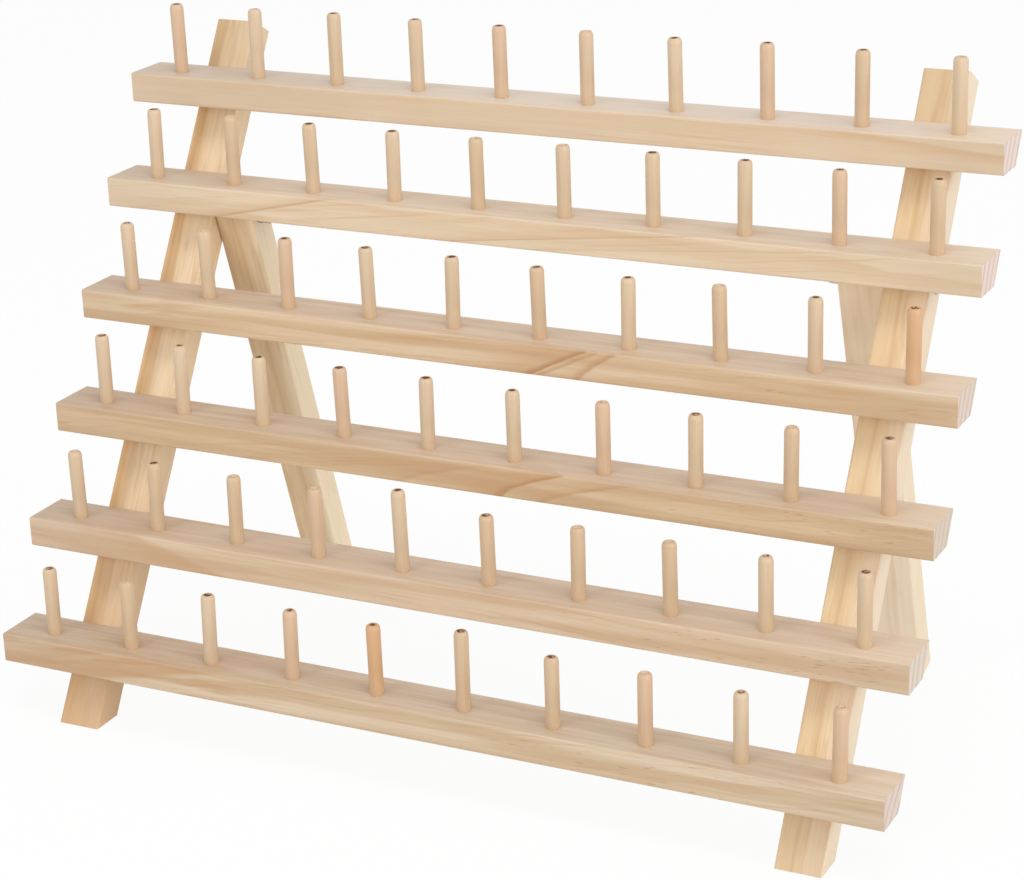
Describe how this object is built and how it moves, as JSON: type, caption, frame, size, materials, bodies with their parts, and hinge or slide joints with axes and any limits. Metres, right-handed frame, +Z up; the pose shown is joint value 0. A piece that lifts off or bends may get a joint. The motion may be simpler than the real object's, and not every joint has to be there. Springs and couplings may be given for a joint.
{
  "type": "thread spool rack",
  "caption": "Free-standing wooden rack that holds thread spools on rows of upright pegs in level rails, carried by leaning legs with hinged rear legs that fold flat.",
  "frame": {"origin": "on the floor, under the middle of the open rack's outline", "axes": "+X along the rails, to the right seen from the front; +Y to the back; +Z up"},
  "size_m": [0.4, 0.1962, 0.2882],
  "materials": {
    "rail_pine": "planed and sanded, unfinished",
    "peg_dowel": "sanded, unfinished, singed at the cut ends",
    "leg_pine": "planed and sanded, unfinished",
    "hinge_steel": "zinc plated",
    "screw_steel": "yellow zinc plated"
  },
  "bodies": {
    "rack_frame": {"rail_1": "rail_pine", "rail_2": "rail_pine", "rail_3": "rail_pine", "rail_4": "rail_pine", "rail_5": "rail_pine", "rail_6": "rail_pine", "pegs_row_1": "peg_dowel", "pegs_row_2": "peg_dowel", "pegs_row_3": "peg_dowel", "pegs_row_4": "peg_dowel", "pegs_row_5": "peg_dowel", "pegs_row_6": "peg_dowel", "front_leg_left": "leg_pine", "front_leg_right": "leg_pine", "hinge_bolt_left": "hinge_steel", "hinge_bolt_right": "hinge_steel", "hinge_washer_left": "hinge_steel", "hinge_washer_right": "hinge_steel", "hinge_nut_left": "hinge_steel", "hinge_nut_right": "hinge_steel", "rail_screws_left": "screw_steel", "rail_screws_right": "screw_steel"},
    "rear_leg_left": {"rear_leg_left": "leg_pine"},
    "rear_leg_right": {"rear_leg_right": "leg_pine"}
  },
  "joints": [
    {"name": "left_leg_fold", "type": "hinge", "parent": "rack_frame", "child": "rear_leg_left", "pos_m": [-0.14565, 0.03128, 0.19927], "axis": [-1, 0, 0], "range_deg": [0, 48]},
    {"name": "right_leg_fold", "type": "hinge", "parent": "rack_frame", "child": "rear_leg_right", "pos_m": [0.14565, 0.03128, 0.19927], "axis": [-1, 0, 0], "range_deg": [0, 48]}
  ]
}
